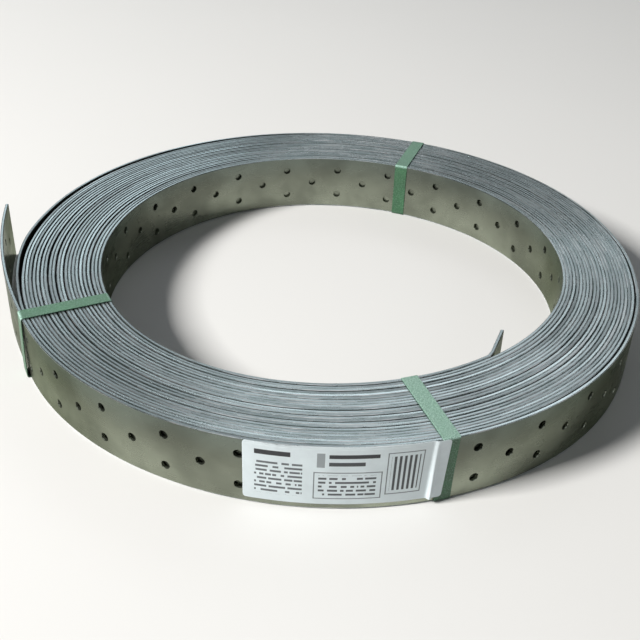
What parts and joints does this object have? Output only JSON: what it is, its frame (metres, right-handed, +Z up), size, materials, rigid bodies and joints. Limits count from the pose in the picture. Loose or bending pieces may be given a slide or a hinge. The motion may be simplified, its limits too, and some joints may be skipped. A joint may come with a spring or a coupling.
{
  "type": "wind bracing strap",
  "caption": "Flat coil of galvanised punched steel strap with a sprung outer end, a bent inner end, binding bands and a blank label.",
  "frame": {"origin": "on the coil's axis, at the level of the floor that its bands lie on", "axes": "+Z up along the coil's axis, the label on the -Y side, the sprung outer end standing off towards -X"},
  "size_m": [0.4227, 0.3968, 0.0412],
  "materials": {
    "zinc_coated_steel": "satin",
    "green_band": "satin",
    "label_paper": "matte"
  },
  "bodies": {
    "root": {"strap_coil": "zinc_coated_steel", "left_band": "green_band", "back_band": "green_band", "front_band": "green_band", "label": "label_paper"}
  },
  "joints": []
}
